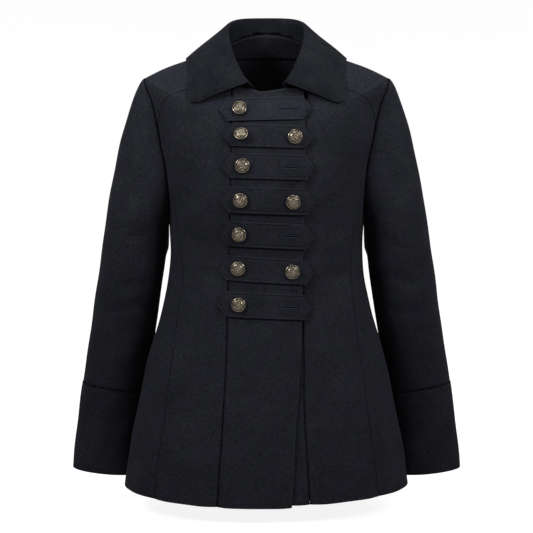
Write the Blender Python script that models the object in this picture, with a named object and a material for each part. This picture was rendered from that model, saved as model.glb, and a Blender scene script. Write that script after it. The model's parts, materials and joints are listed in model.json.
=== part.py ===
"""A short wool coat with a tabbed front, filled out as worn, with no wearer.

Metres, +Z up. The front faces -Y and +X is the wearer's left. The origin lies
between the shoulders, where a wearer or a figure carries the coat.
Every table below is in millimetres and degrees.
"""

import math
from collections import namedtuple
from functools import lru_cache

import bmesh
import bpy
from mathutils import Matrix, Vector

MM = 0.001

# Cloth
CLOTH = 2.0             # felted coating, one wall
BAND_CLOTH = 2.8        # front band with its facing
COLLAR_CLOTH = 2.6      # two layers pressed together
TAB_CLOTH = 2.4
FACING_CLOTH = 1.3
CUFF_PROUD = 1.0        # the cuff is turned up over the sleeve's end
SEAM_GAP = 0.3

# Body of the coat: rings from the hem up over the shoulders to the neck
Ring = namedtuple("Ring", "half_width front_depth back_depth side_z front_z back_z squareness")
RINGS = [
    Ring(228.5, 148, 134, -677, -688, -684, 2.25),   # hem
    Ring(218.0, 142, 130, -606, -612, -610, 2.25),
    Ring(204.5, 134, 125, -542, -545, -544, 2.28),
    Ring(189.0, 126, 119, -470, -471, -470, 2.30),
    Ring(167.5, 118, 112, -396, -395, -395, 2.33),   # hip
    Ring(154.0, 113, 104, -328, -326, -325, 2.35),   # waist
    Ring(154.0, 117, 106, -278, -272, -270, 2.35),
    Ring(157.5, 125, 112, -229, -217, -214, 2.35),   # under the arm
    Ring(169.0, 126, 117, -180, -170, -160, 2.35),   # chest
    Ring(181.0, 122, 115, -128, -133, -112, 2.35),
    Ring(188.0, 117, 108, -70, -104, -70, 2.35),
    Ring(191.5, 109, 98, -27, -83, -33, 2.35),       # shoulder point
    Ring(132.0, 99, 82, -2, -67, 9, 2.35),
    Ring(70.0, 90, 62, 23, -51, 47, 2.35),           # neck seam
]
SHOULDER = 11.0
NECK = 13.0

# Armhole, from the underarm round the front or the back to the shoulder point
UNDERARM = 6.8
FRONT_SCOOP = (28.0, 25.0)     # degrees, near the underarm and near the shoulder
BACK_SCOOP = (23.0, 18.0)
SCOOP_POWER = 0.8
ARMHOLE_STEPS = 10             # from the underarm to the shoulder point
SIDE_STEPS = 3                 # of these, the ones that the side panel takes
YOKE_STEP = 6                  # where the yoke seam leaves the armhole
YOKE_TIP = 0.6                 # degrees, the width of the yoke's pointed end

# Rows of the panels, as ring numbers
SKIRT_SHARES = (0.0, 0.1, 0.22, 0.34, 0.46, 0.56, 0.63, 0.70, 0.80, 0.90, 1.0)
SHOULDER_ROWS = (11.6, 12.1, 12.5, 12.8, NECK)
FRONT_COLUMNS = 6
YOKE_COLUMNS = 5
BACK_COLUMNS = 14
PRINCESS = [(0.0, 48.0), (1.5, 47.0), (3.0, 49.0), (4.5, 54.0), (6.0, 60.0)]   # ring, angle
BACK_SEAM_SHIFT = 6.0          # degrees, the back seam lies this much nearer the middle
YOKE_SEAM = [(10.13, 57.0), (10.8, 47.0), (11.3, 43.0), (12.0, 42.0), (NECK, 57.0)]
LEFT_HEM_RISE = 0.055          # the under front ends this share of a ring higher

# Front band edges, height and distance from the middle
RIGHT_SEAM = [(-690, 76), (-588, 69), (-495, 63), (-399, 60), (-293, 57.4), (-150, 53.6), (-20, 53)]
LEFT_SEAM = [(-690, 67), (-550, 58.7), (-404, 56.7), (-150, 54), (-20, 52)]
FREE_EDGE = [(-690, 39), (-588, 43), (-495, 49.5), (-404, 54), (-148, 58.2), (-20, 57.5)]
HIDDEN_EDGE = [(-690, 34), (-20, 45)]
BAND_TOP = [(-20, -53), (10, -48), (60, -46)]     # sideways place, height
RIGHT_BAND_SQUARE = -16.0      # from here to its free edge the right band has a square top
LEFT_BAND_SQUARE = 20.0
BAND_COLUMNS = 8
TAB_COLUMNS = 8
TAB_POINT = 0.02               # height of a tab's pointed end
UNDER_FRONT_DEPTH = 3.6        # the under front lies this far in, below the band
UNDER_FRONT_EASE = 22.0
UNDER_FRONT_START = 3.0        # past the band's free edge, where it starts to rise
UNDER_FRONT_TOP = (-34.0, -44.0)   # heights between which the depth starts, below the neck

# Tabs: middle height, height, drop at the wearer's left, tips, shoulders, buttons
Tab = namedtuple("Tab", "z height drop right_tip left_tip right_corner left_corner right_button left_button")
TABS = [
    Tab(-79, 34, -3, -71, 68, -61, 56, -41, None),
    Tab(-120, 33, 4, -66, 70, -53, 59, -38, 43),
    Tab(-166, 37, 4, -66, 71, -55, 61, -36, None),
    Tab(-218, 39, 5, -71, 74, -57, 61, -39, 40),
    Tab(-271, 38, 7, -71, 71, -58, 60, -41, None),
    Tab(-325, 38, 9, -73, 71, -61, 60, -43, 39),
    Tab(-380, 38, 6, -75, 69, -62, 58, -42, None),
]
BAND_PROUD = 0.9               # the band's face above the fronts
TAB_LIFT = 0.8                 # from the band to a tab

# Buttons: outline of one half, from the shank to the middle of the dome
BUTTON_PROFILE = [(3.2, 0.5), (3.2, 2.2), (9.6, 2.6), (11.0, 3.5), (10.8, 4.6),
                  (9.2, 5.5), (6.2, 6.7), (3.0, 7.4)]
BUTTON_SIDES = 18
BUTTON_PEAK = 7.6

# Sleeve: middle line, then half its width and half its depth
Section = namedtuple("Section", "x y z half_width half_depth")
SLEEVE = [
    Section(206.6, 2, -262, 50.4, 60),
    Section(214.4, 10, -320, 52.0, 57),
    Section(224.2, 22, -382, 52.3, 54),
    Section(234.8, 37, -445, 51.9, 51),
    Section(244.8, 48, -500, 51.6, 48),
    Section(253.6, 56, -555, 51.4, 45),
    Section(261.0, 60, -608, 51.2, 42),
    Section(267.4, 60, -666, 51.0, 40),
]
CUFF_START = 4.48              # section number of the seam above the cuff
SLEEVE_SIDES = 2 * ARMHOLE_STEPS
CAP_ROWS = (0.0, 0.07, 0.17, 0.3, 0.46, 0.64, 0.82, 1.0)
SLEEVE_ROWS = 8
CUFF_ROWS = 5
CAP_START = Vector((60, 0, -20))      # the way that the cap leaves the shoulder point
UNDER_START = Vector((0, 0, -25))     # and the way that it leaves the underarm
CAP_FULLNESS = 18.0
CAP_DROP = 45.0                # the cap leaves the armhole's front and back downwards
CAP_IN = 0.5                   # the cap's first round, in from the armhole's edge
CAP_PROUD = 0.7                # and proud of the body
NEARBY = 0.05                  # a small step along a table, to find a direction
SECTION_LENGTH = 53.0          # from one section to the next

# Soft folds of the sleeve: section, angle round, depth, then half length and half width
Fold = namedtuple("Fold", "place angle depth length width slant")
SLEEVE_FOLDS = [
    Fold(0.6, 118, 3.0, 0.45, 26, 30),
    Fold(1.7, 150, 3.2, 0.40, 30, -20),
    Fold(2.4, 60, 2.2, 0.45, 28, 25),
    Fold(1.9, 285, 2.6, 0.45, 30, 20),
]

# Collar: angle on the neck seam, fold line, then the outer edge as angle and ring
Station = namedtuple("Station", "neck_angle x y z edge_angle edge_ring roll")
COLLAR = [
    Station(12, 29, -97, -37, 29.4, 11.00, 3),
    Station(20, 33, -95, -31, 32.0, 11.00, 5),
    Station(30, 38, -88, -24, 34.6, 11.07, 6),
    Station(42, 46, -70, -9, 38.8, 11.30, 6),
    Station(55, 54, -46, 12, 47.6, 11.64, 6),
    Station(70, 60, -24, 32, 60.6, 11.99, 5),
    Station(90, 62.5, 2, 49, 88.0, 12.10, 3),
    Station(115, 60, 29, 61.5, 116.0, 12.06, 0),
    Station(145, 41, 52, 70, 152.0, 11.75, 2),
    Station(180, 0, 62, 71.5, 180.0, 11.58, 6),
]
LEFT_COLLAR_END = 19.0         # neck angle of the collar's end on the wearer's left
COLLAR_STEPS = 2               # columns from one station to the next
COLLAR_CLEAR = 3.4             # the outer edge above the cloth under it
COLLAR_FOOT = 2.2              # from the neck seam up to the collar's own edge
FOLD_HALF_WIDTH = 3.2
FALL_SHARES = (0.1, 0.25, 0.42, 0.6, 0.8, 1.0)

SEARCH_STEPS = 30
EDGE_SEARCH_STEPS = 12

FACING_RINGS = (12.0, 12.3, 12.6, 12.93)
FACING_CLEAR = 1.0
FACING_ENDS = (90.5, 269.5)    # just behind the shoulder seams


def between(value, low, high):
    return max(low, min(high, value))


def ease(value):
    share = between(value, 0.0, 1.0)
    return share * share * (3 - 2 * share)


def signed_power(value, power):
    return math.copysign(abs(value) ** power, value)


def smooth_table(values, place):
    """Read a list of evenly numbered values at a place between two of them, smoothly."""
    last = len(values) - 1
    start = int(between(math.floor(place), 0, last - 1))
    share = place - start
    before = values[start - 1] if start > 0 else 2 * values[0] - values[1]
    here, there = values[start], values[start + 1]
    after = values[start + 2] if start + 2 <= last else 2 * values[last] - values[last - 1]
    slope_here = (there - before) / 2
    slope_there = (after - here) / 2
    square, cube = share * share, share ** 3
    return (here * (2 * cube - 3 * square + 1) + slope_here * (cube - 2 * square + share)
            + there * (3 * square - 2 * cube) + slope_there * (cube - square))


def lookup(rows, place):
    """Read the second column of a table at a place in its first, on straight lines."""
    if place <= rows[0][0]:
        return rows[0][1]
    for (low, start), (high, end) in zip(rows, rows[1:]):
        if place <= high:
            return start + (end - start) * (place - low) / (high - low)
    return rows[-1][1]


@lru_cache(maxsize=None)
def ring_at(place):
    return Ring(*(smooth_table([getattr(ring, column) for ring in RINGS], place)
                  for column in Ring._fields))


def skin(angle, place):
    """The coat's outer face. The angle runs from the middle front to the wearer's left."""
    ring = ring_at(place)
    turn = math.radians(angle)
    sideways, forward = math.sin(turn), math.cos(turn)
    power = 2 / ring.squareness
    depth, end_z = (ring.front_depth, ring.front_z) if forward > 0 else (ring.back_depth, ring.back_z)
    return Vector((ring.half_width * signed_power(sideways, power),
                   -depth * signed_power(forward, power),
                   ring.side_z + (end_z - ring.side_z) * forward * forward))


def skin_normal(angle, place):
    step, ring_step = 0.5, 0.02
    low, high = max(place - ring_step, 0), min(place + ring_step, NECK)
    across = skin(angle + step, place) - skin(angle - step, place)
    up = skin(angle, high) - skin(angle, low)
    return across.cross(up).normalized()


def angle_at(x, place):
    """The angle in the front half at which a ring lies a given distance to the side."""
    ring = ring_at(place)
    share = between(x / ring.half_width, -0.999, 0.999)
    return math.degrees(math.asin(signed_power(share, ring.squareness / 2)))


def front_place(x, z):
    """The angle and the ring of a point of the front, from where it is seen."""
    low, high = 0.0, NECK
    for _ in range(SEARCH_STEPS):
        place = (low + high) / 2
        if skin(angle_at(x, place), place).z < z:
            low = place
        else:
            high = place
    return angle_at(x, place), place


def front_point(x, z, out):
    angle, place = front_place(x, z)
    return skin(angle, place) + out * skin_normal(angle, place)


def edge_angle(edge, place):
    """The angle at which a ring meets an edge that is given as height and distance."""
    angle = 20.0
    for _ in range(EDGE_SEARCH_STEPS):
        angle = angle_at(lookup(edge, skin(angle, place).z), place)
    return angle


def gap_angle(angle, place):
    """Half the seam gap, as an angle at this place."""
    width = (skin(angle + 0.5, place) - skin(angle - 0.5, place)).length
    return 0.5 * SEAM_GAP / width


def armhole(step):
    """Angle and ring of the armhole's edge. Steps below nought go round the back."""
    turn = math.pi * abs(step) / ARMHOLE_STEPS
    rise = (1 - math.cos(turn)) / 2
    place = UNDERARM + (SHOULDER - UNDERARM) * rise
    low, high = FRONT_SCOOP if step >= 0 else BACK_SCOOP
    scoop = (low + (high - low) * rise) * max(math.sin(turn), 0.0) ** SCOOP_POWER
    return (90 - scoop if step >= 0 else 90 + scoop), place


SIDE_TOP = armhole(SIDE_STEPS)[1]
LOWER_ROWS = [share * SIDE_TOP for share in SKIRT_SHARES]
ARMHOLE_ROWS = [armhole(step)[1] for step in range(SIDE_STEPS + 1, ARMHOLE_STEPS + 1)]
PANEL_ROWS = LOWER_ROWS + ARMHOLE_ROWS + list(SHOULDER_ROWS)


def princess_angle(place, step):
    """The seam of the side panel, in front for a step above nought, else behind."""
    top_angle, top_place = armhole(step)
    front = lookup(PRINCESS + [(top_place, armhole(SIDE_STEPS)[0])], place)
    if step > 0:
        return front
    share = ease(place / top_place)
    return (1 - share) * (180 - front + BACK_SEAM_SHIFT) + share * top_angle


def outer_edge_angle(row):
    """Where a front panel ends at its side: side seam, armhole, then yoke seam."""
    place = PANEL_ROWS[row]
    if row < len(LOWER_ROWS):
        return princess_angle(place, SIDE_STEPS)
    step = SIDE_STEPS + 1 + row - len(LOWER_ROWS)
    if step < YOKE_STEP:
        return armhole(step)[0]
    if step == YOKE_STEP:
        return armhole(step)[0] - YOKE_TIP
    return lookup(YOKE_SEAM, place)


def armhole_or_shoulder(row, back):
    """Where the cloth above the side panel ends: the armhole, then the shoulder seam."""
    step = SIDE_STEPS + 1 + row - len(LOWER_ROWS)
    if step >= ARMHOLE_STEPS:
        return 90.0
    return armhole(-step if back else step)[0]


def sunk(point):
    """How far the under front lies in, where the band covers it."""
    past = point.x - lookup(FREE_EDGE, point.z) - UNDER_FRONT_START
    top, full = UNDER_FRONT_TOP
    below_neck = ease((top - point.z) / (top - full))
    return -UNDER_FRONT_DEPTH * (1 - ease(past / UNDER_FRONT_EASE)) * below_neck


def material(name, colour, roughness, metallic=0.0):
    made = bpy.data.materials.new(name)
    made.use_nodes = True
    shader = made.node_tree.nodes["Principled BSDF"]
    shader.inputs["Base Color"].default_value = (*colour, 1)
    shader.inputs["Roughness"].default_value = roughness
    shader.inputs["Metallic"].default_value = metallic
    return made


def cloth_material(name):
    return material(name, (0.012, 0.014, 0.021), 0.92)


def finish(name, mesh_data, look, sharp=35):
    """Close a mesh up, point its faces out and put it in the scene under its name."""
    bmesh.ops.remove_doubles(mesh_data, verts=mesh_data.verts, dist=0.00001)
    bmesh.ops.recalc_face_normals(mesh_data, faces=mesh_data.faces)
    mesh = bpy.data.meshes.new(name)
    mesh_data.to_mesh(mesh)
    mesh_data.free()
    mesh.materials.append(look)
    mesh.shade_smooth()
    mesh.set_sharp_from_angle(angle=math.radians(sharp))
    made = bpy.data.objects.new(name, mesh)
    bpy.context.collection.objects.link(made)
    return made


def wall(name, outer, inner, side=1, closed=False):
    """A cloth wall between two grids of points. A closed wall is a tube."""
    mesh_data = bmesh.new()
    faces = [[[mesh_data.verts.new((side * p.x * MM, p.y * MM, p.z * MM)) for p in row]
              for row in grid] for grid in (outer, inner)]
    rows, columns = len(outer), len(outer[0])
    steps = columns if closed else columns - 1
    for grid in faces:
        for row in range(rows - 1):
            for column in range(steps):
                after = (column + 1) % columns
                mesh_data.faces.new((grid[row][column], grid[row][after],
                                     grid[row + 1][after], grid[row + 1][column]))
    outer_grid, inner_grid = faces
    for row in (0, rows - 1):
        for column in range(steps):
            after = (column + 1) % columns
            mesh_data.faces.new((outer_grid[row][column], outer_grid[row][after],
                                 inner_grid[row][after], inner_grid[row][column]))
    if not closed:
        for column in (0, columns - 1):
            for row in range(rows - 1):
                mesh_data.faces.new((outer_grid[row][column], outer_grid[row + 1][column],
                                     inner_grid[row + 1][column], inner_grid[row][column]))
    return finish(name, mesh_data, cloth_material(name + " cloth"))


def skin_wall(name, places, side=1, out=lambda point: 0.0, thickness=CLOTH):
    """A wall on the coat's outer face, from a grid of angles and rings."""
    outer, inner = [], []
    for row in places:
        faces = [(skin(angle, place), skin_normal(angle, place)) for angle, place in row]
        outer.append([point + out(point) * normal for point, normal in faces])
        inner.append([point + (out(point) - thickness) * normal for point, normal in faces])
    return wall(name, outer, inner, side)


def spread(start, end, steps):
    return [start + (end - start) * step / steps for step in range(steps + 1)]


def front_panel(name, side, seam):
    """From the band's seam to the side panel, the armhole and the yoke."""
    places = []
    for row, place in enumerate(PANEL_ROWS):
        if side > 0:
            place = max(place, LEFT_HEM_RISE)
        start = edge_angle(seam, place)
        start += gap_angle(start, place)
        end = outer_edge_angle(row)
        end -= gap_angle(end, place)
        places.append([(angle, place) for angle in spread(start, end, FRONT_COLUMNS)])
    skin_wall(name, places, side, out=sunk if side > 0 else lambda point: 0.0)


def yoke(name, side):
    """The wedge over the front of the shoulder, from the armhole to the neck."""
    places = []
    first = len(LOWER_ROWS) + YOKE_STEP - SIDE_STEPS - 1
    for row in range(first, len(PANEL_ROWS)):
        place = PANEL_ROWS[row]
        end = armhole_or_shoulder(row, back=False)
        end -= gap_angle(end, place)
        start = outer_edge_angle(row)
        start += gap_angle(start, place)
        places.append([(angle, place) for angle in spread(start, end, YOKE_COLUMNS)])
    skin_wall(name, places, side)


def side_panel(name, side):
    """From the front seam under the arm to the back seam."""
    steps = range(-SIDE_STEPS, SIDE_STEPS + 1)
    columns = []
    for step in steps:
        top_angle, top_place = armhole(step)
        share = (step + SIDE_STEPS) / (2 * SIDE_STEPS)
        column = []
        for row_share in SKIRT_SHARES:
            place = row_share * top_place
            back = princess_angle(place, -SIDE_STEPS)
            front = princess_angle(place, SIDE_STEPS)
            back -= gap_angle(back, place)
            front += gap_angle(front, place)
            even = back + (front - back) * share
            angle = even + (top_angle - even) * row_share ** 4
            if step == -SIDE_STEPS:
                angle = back
            if step == SIDE_STEPS:
                angle = front
            if side > 0:
                place = max(place, LEFT_HEM_RISE * share)
            column.append((angle, place))
        columns.append(column)
    places = [[column[row] for column in columns] for row in range(len(SKIRT_SHARES))]
    skin_wall(name, places, side)


def back_panel():
    places = []
    for row, place in enumerate(PANEL_ROWS):
        if row < len(LOWER_ROWS):
            edge = princess_angle(place, -SIDE_STEPS)
        else:
            edge = armhole_or_shoulder(row, back=True)
        edge += gap_angle(edge, place)
        places.append([(angle, place) for angle in spread(edge, 360 - edge, BACK_COLUMNS)])
    skin_wall("back", places)


def band_top(x, side):
    """The height at which a band ends: its own square top, or the neck seam."""
    on_neck = x > LEFT_BAND_SQUARE if side > 0 else x < RIGHT_BAND_SQUARE
    if on_neck:
        return skin(angle_at(x, NECK), NECK).z
    return lookup(BAND_TOP, x)


def band(name, side, seam, free_edge, out, lowest):
    """A front band, from its seam over the middle front to its free edge."""
    heights = []
    for place in PANEL_ROWS:
        place = max(place, lowest)
        heights.append(skin(edge_angle(seam, place), place).z)
    shares = [(z - heights[0]) / (heights[-1] - heights[0]) for z in heights]
    outer, inner = [], []
    for z, share in zip(heights, shares):
        line = []
        for across in spread(0.0, 1.0, BAND_COLUMNS):
            seam_x, free_x = lookup(seam, z) - 0.5 * SEAM_GAP, lookup(free_edge, z)
            x = side * (seam_x - across * (seam_x + free_x))
            bottom = skin(angle_at(x, lowest), lowest).z
            height = z if across == 0 else bottom + share * (band_top(x, side) - bottom)
            line.append((x, height))
        faces = [front_place(x, height) for x, height in line]
        points = [(skin(*face), skin_normal(*face)) for face in faces]
        outer.append([point + out(point) * normal for point, normal in points])
        inner.append([point + (out(point) - BAND_CLOTH) * normal for point, normal in points])
    wall(name, outer, inner)


def make_tab(number, tab):
    """A pointed strap across the band, made from the points of the front, moved out."""
    tilt = tab.drop / (tab.left_tip - tab.right_tip)
    middle = (tab.left_corner + tab.right_corner) / 2
    columns = [tab.right_tip, *spread(tab.right_corner, tab.left_corner, TAB_COLUMNS), tab.left_tip]
    low = BAND_PROUD + TAB_LIFT
    grids = []
    for out in (low + TAB_CLOTH, low):
        rows = []
        for share in (-0.5, 0.0, 0.5):
            row = []
            for x in columns:
                height = TAB_POINT if x in (tab.right_tip, tab.left_tip) else tab.height
                row.append(front_point(x, tab.z - tilt * (x - middle) + share * height, out))
            rows.append(row)
        grids.append(rows)
    wall(f"tab_{number}", *grids)
    return middle, tilt


def make_button(name, place, normal, look):
    """A domed metal button, turned from its outline, on its shank."""
    mesh_data = bmesh.new()
    ring = [mesh_data.verts.new((radius, 0, height)) for radius, height in BUTTON_PROFILE]
    ring.insert(0, mesh_data.verts.new((0, 0, BUTTON_PROFILE[0][1])))
    ring.append(mesh_data.verts.new((0, 0, BUTTON_PEAK)))
    edges = [mesh_data.edges.new(pair) for pair in zip(ring, ring[1:])]
    bmesh.ops.spin(mesh_data, geom=ring + edges, axis=(0, 0, 1), cent=(0, 0, 0),
                   angle=math.tau, steps=BUTTON_SIDES, use_merge=True)
    bmesh.ops.transform(mesh_data, matrix=Matrix.Scale(MM, 4), verts=mesh_data.verts)
    turn = Vector((0, 0, 1)).rotation_difference(normal).to_matrix().to_4x4()
    spot = Matrix.Translation(place * MM) @ turn
    bmesh.ops.transform(mesh_data, matrix=spot, verts=mesh_data.verts)
    finish(name, mesh_data, look)


def tabs_and_buttons():
    brass = material("aged brass", (0.16, 0.125, 0.075), 0.45, 1.0)
    out = BAND_PROUD + TAB_LIFT + TAB_CLOTH
    for number, tab in enumerate(TABS, start=1):
        middle, tilt = make_tab(number, tab)
        for hand, x in (("right", tab.right_button), ("left", tab.left_button)):
            if x is None:
                continue
            angle, ring = front_place(x, tab.z - tilt * (x - middle))
            normal = skin_normal(angle, ring)
            make_button(f"button_{number}_{hand}", skin(angle, ring) + out * normal, normal, brass)


def sleeve_section(place):
    return Section(*(smooth_table([getattr(row, column) for row in SLEEVE], place)
                     for column in Section._fields))


def sleeve_ring(place, proud=0.0):
    """One round of the sleeve, square to its middle line, starting on its outer side."""
    row = sleeve_section(place)
    ahead, behind = sleeve_section(place + NEARBY), sleeve_section(place - NEARBY)
    lean = math.atan2(ahead.x - behind.x, behind.z - ahead.z)
    outward = Vector((math.cos(lean), 0, math.sin(lean)))
    ring = []
    for step in range(SLEEVE_SIDES):
        degrees = 360 * step / SLEEVE_SIDES
        turn = math.radians(degrees)
        hollow = fold_depth(place, degrees)
        across = (row.half_width + proud - hollow) * math.cos(turn)
        deep = (row.half_depth + proud - hollow) * math.sin(turn)
        ring.append(Vector((row.x, row.y, row.z)) + across * outward - Vector((0, deep, 0)))
    return ring


def fold_depth(place, degrees):
    depth = 0.0
    for fold in SLEEVE_FOLDS:
        along = (place - fold.place) / fold.length
        around = (degrees - fold.angle - fold.slant * along + 180) % 360 - 180
        depth += fold.depth * math.exp(-along ** 2 - (around / fold.width) ** 2)
    return depth


def armhole_ring():
    """The sleeve's first round, just off the armhole's edge and a little proud of it."""
    ring = []
    for column in range(SLEEVE_SIDES):
        step = ARMHOLE_STEPS - column
        before, after = armhole(step + NEARBY), armhole(step - NEARBY)
        if step == ARMHOLE_STEPS:
            before = armhole(NEARBY - ARMHOLE_STEPS)
        angle, place = armhole(step)
        normal = skin_normal(angle, place)
        along = (skin(*after) - skin(*before)).normalized()
        inward = normal.cross(along).normalized()
        ring.append(skin(angle, place) + CAP_IN * inward + CAP_PROUD * normal)
    return ring


def cap_rings():
    """Rounds from the armhole down to the top of the sleeve's tube."""
    start, end = armhole_ring(), sleeve_ring(0.0)
    down = (sum(sleeve_ring(0.1), Vector()) - sum(end, Vector())).normalized()
    rings = []
    for share in CAP_ROWS:
        square, cube = share * share, share ** 3
        ring = []
        for column, (first, last) in enumerate(zip(start, end)):
            turn = math.tau * column / SLEEVE_SIDES
            top = (1 + math.cos(turn)) / 2
            leave = top * CAP_START + (1 - top) * UNDER_START
            leave = leave - Vector((0, CAP_FULLNESS * math.sin(turn), CAP_DROP * math.sin(turn) ** 2))
            arrive = down * (last - first).length
            ring.append(first * (2 * cube - 3 * square + 1) + leave * (cube - 2 * square + share)
                        + last * (3 * square - 2 * cube) + arrive * (cube - square))
        rings.append(ring)
    return rings


def grid_normals(grid, closed):
    """Normals of a grid of points, from the points beside each one."""
    rows, columns = len(grid), len(grid[0])
    result = []
    for row in range(rows):
        line = []
        for column in range(columns):
            if closed:
                left, right = grid[row][column - 1], grid[row][(column + 1) % columns]
            else:
                left, right = grid[row][max(column - 1, 0)], grid[row][min(column + 1, columns - 1)]
            low, high = grid[max(row - 1, 0)][column], grid[min(row + 1, rows - 1)][column]
            line.append((right - left).cross(high - low).normalized())
        result.append(line)
    return result


def moved(grid, normals, distance):
    return [[point + distance * normal for point, normal in zip(points, directions)]
            for points, directions in zip(grid, normals)]


def sleeve_and_cuff(hand, side):
    tube = cap_rings()
    tube += [sleeve_ring(place) for place in spread(0.0, CUFF_START, SLEEVE_ROWS)[1:]]
    inside = moved(tube, grid_normals(tube, closed=True), -CLOTH)
    wall(f"sleeve_{hand}", tube, inside, side, closed=True)
    seam = SEAM_GAP / SECTION_LENGTH
    last = len(SLEEVE) - 1
    tube = [sleeve_ring(place, CUFF_PROUD) for place in spread(CUFF_START + seam, last, CUFF_ROWS)]
    inside = moved(tube, grid_normals(tube, closed=True), -CLOTH - CUFF_PROUD)
    wall(f"cuff_{hand}", tube, inside, side, closed=True)


def collar_station(place):
    return Station(*(smooth_table([getattr(row, column) for row in COLLAR], place)
                     for column in Station._fields))


def collar_column(station, side):
    """One line over the collar: up the stand, over the fold and down to the edge."""
    neck = skin(station.neck_angle, NECK)
    normal = skin_normal(station.neck_angle, NECK)
    fold = Vector((station.x, station.y, station.z))
    up = (neck - skin(station.neck_angle, NECK - 0.1)).normalized()
    foot = neck - 0.5 * CLOTH * normal + COLLAR_FOOT * up
    edge = skin(station.edge_angle, station.edge_ring)
    edge_normal = skin_normal(station.edge_angle, station.edge_ring)
    edge = edge + COLLAR_CLEAR * edge_normal
    out = Vector((edge.x - fold.x, edge.y - fold.y, 0)).normalized()
    drop = Vector((0, 0, -1))
    inside = fold - FOLD_HALF_WIDTH * out + FOLD_HALF_WIDTH * drop
    outside = fold + FOLD_HALF_WIDTH * out + 0.7 * FOLD_HALF_WIDTH * drop
    column = [foot, (foot + inside) / 2, inside, fold, outside]
    for share in FALL_SHARES:
        rise = station.roll * 4 * share * (1 - share)
        column.append(outside.lerp(edge, share) + rise * edge_normal)
    if side < 0:
        column = [Vector((-point.x, point.y, point.z)) for point in column]
    return column


def collar():
    columns = []
    last = len(COLLAR) - 1
    for step in range(last * COLLAR_STEPS + 1):
        columns.append(collar_column(collar_station(step / COLLAR_STEPS), -1))
    for step in range(last * COLLAR_STEPS - 1, -1, -1):
        place = step / COLLAR_STEPS
        station = collar_station(place)
        end_share = max(0.0, 1 - place / 2)
        angle = station.neck_angle + end_share * (LEFT_COLLAR_END - COLLAR[0].neck_angle)
        columns.append(collar_column(station._replace(neck_angle=angle), 1))
    grid = [list(line) for line in zip(*columns)]
    normals = grid_normals(grid, closed=False)
    half = 0.5 * COLLAR_CLOTH
    wall("collar", moved(grid, normals, half), moved(grid, normals, -half))


def back_neck_facing():
    """The strip inside the back neck, below the collar."""
    places = [[(angle, place) for angle in spread(*FACING_ENDS, BACK_COLUMNS)]
              for place in FACING_RINGS]
    skin_wall("back_neck_facing", places, out=lambda point: -CLOTH - FACING_CLEAR,
              thickness=FACING_CLOTH)


def main():
    for old in list(bpy.data.objects):
        bpy.data.objects.remove(old)
    back_panel()
    for hand, side, seam in (("right", -1, RIGHT_SEAM), ("left", 1, LEFT_SEAM)):
        front_panel(f"front_{hand}", side, seam)
        side_panel(f"side_{hand}", side)
        yoke(f"yoke_{hand}", side)
        sleeve_and_cuff(hand, side)
    band("band_right", -1, RIGHT_SEAM, FREE_EDGE, lambda point: BAND_PROUD, 0.0)
    band("band_left", 1, LEFT_SEAM, HIDDEN_EDGE, sunk, LEFT_HEM_RISE)
    collar()
    back_neck_facing()
    tabs_and_buttons()


main()
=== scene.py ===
"""The look of a short wool coat with a tabbed front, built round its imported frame.

Metres, +Z up. The front faces -Y and +X is the wearer's left. Tables are in
millimetres and degrees. Angles on the body start at the middle front and run to
the wearer's left. Angles on a sleeve start on its front and run outwards.
"""

import json
import math
import random
from collections import namedtuple

import bmesh
import bpy
import numpy as np
from mathutils import Matrix, Vector
from mathutils.bvhtree import BVHTree
from mathutils.kdtree import KDTree

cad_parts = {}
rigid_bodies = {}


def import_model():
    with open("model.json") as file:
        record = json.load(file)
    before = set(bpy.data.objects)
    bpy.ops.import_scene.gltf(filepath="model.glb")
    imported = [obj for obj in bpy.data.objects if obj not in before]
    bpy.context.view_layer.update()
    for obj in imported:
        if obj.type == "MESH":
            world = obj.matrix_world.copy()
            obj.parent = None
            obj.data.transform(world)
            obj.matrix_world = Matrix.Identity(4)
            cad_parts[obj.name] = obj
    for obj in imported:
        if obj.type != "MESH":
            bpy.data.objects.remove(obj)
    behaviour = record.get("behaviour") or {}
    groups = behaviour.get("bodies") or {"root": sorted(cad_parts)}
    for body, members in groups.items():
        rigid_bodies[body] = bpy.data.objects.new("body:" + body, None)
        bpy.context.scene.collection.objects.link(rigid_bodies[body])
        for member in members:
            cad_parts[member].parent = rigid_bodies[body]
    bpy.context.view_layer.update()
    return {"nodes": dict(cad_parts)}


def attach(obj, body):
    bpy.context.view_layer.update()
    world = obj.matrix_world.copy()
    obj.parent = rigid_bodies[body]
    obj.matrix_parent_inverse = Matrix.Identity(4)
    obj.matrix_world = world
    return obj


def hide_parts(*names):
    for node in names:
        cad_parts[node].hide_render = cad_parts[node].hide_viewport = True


bl_info = {
    "name": "Tabbed wool coat",
    "version": (1, 0, 0),
    "blender": (4, 5, 0),
    "location": "View3D > Sidebar > Coat",
    "description": "Dresses a short coat's frame in felted wool, stitching and buttons",
    "category": "Add Mesh",
}

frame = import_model()
NODES = frame["nodes"]
MM = 0.001
ROOT = "root"

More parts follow.
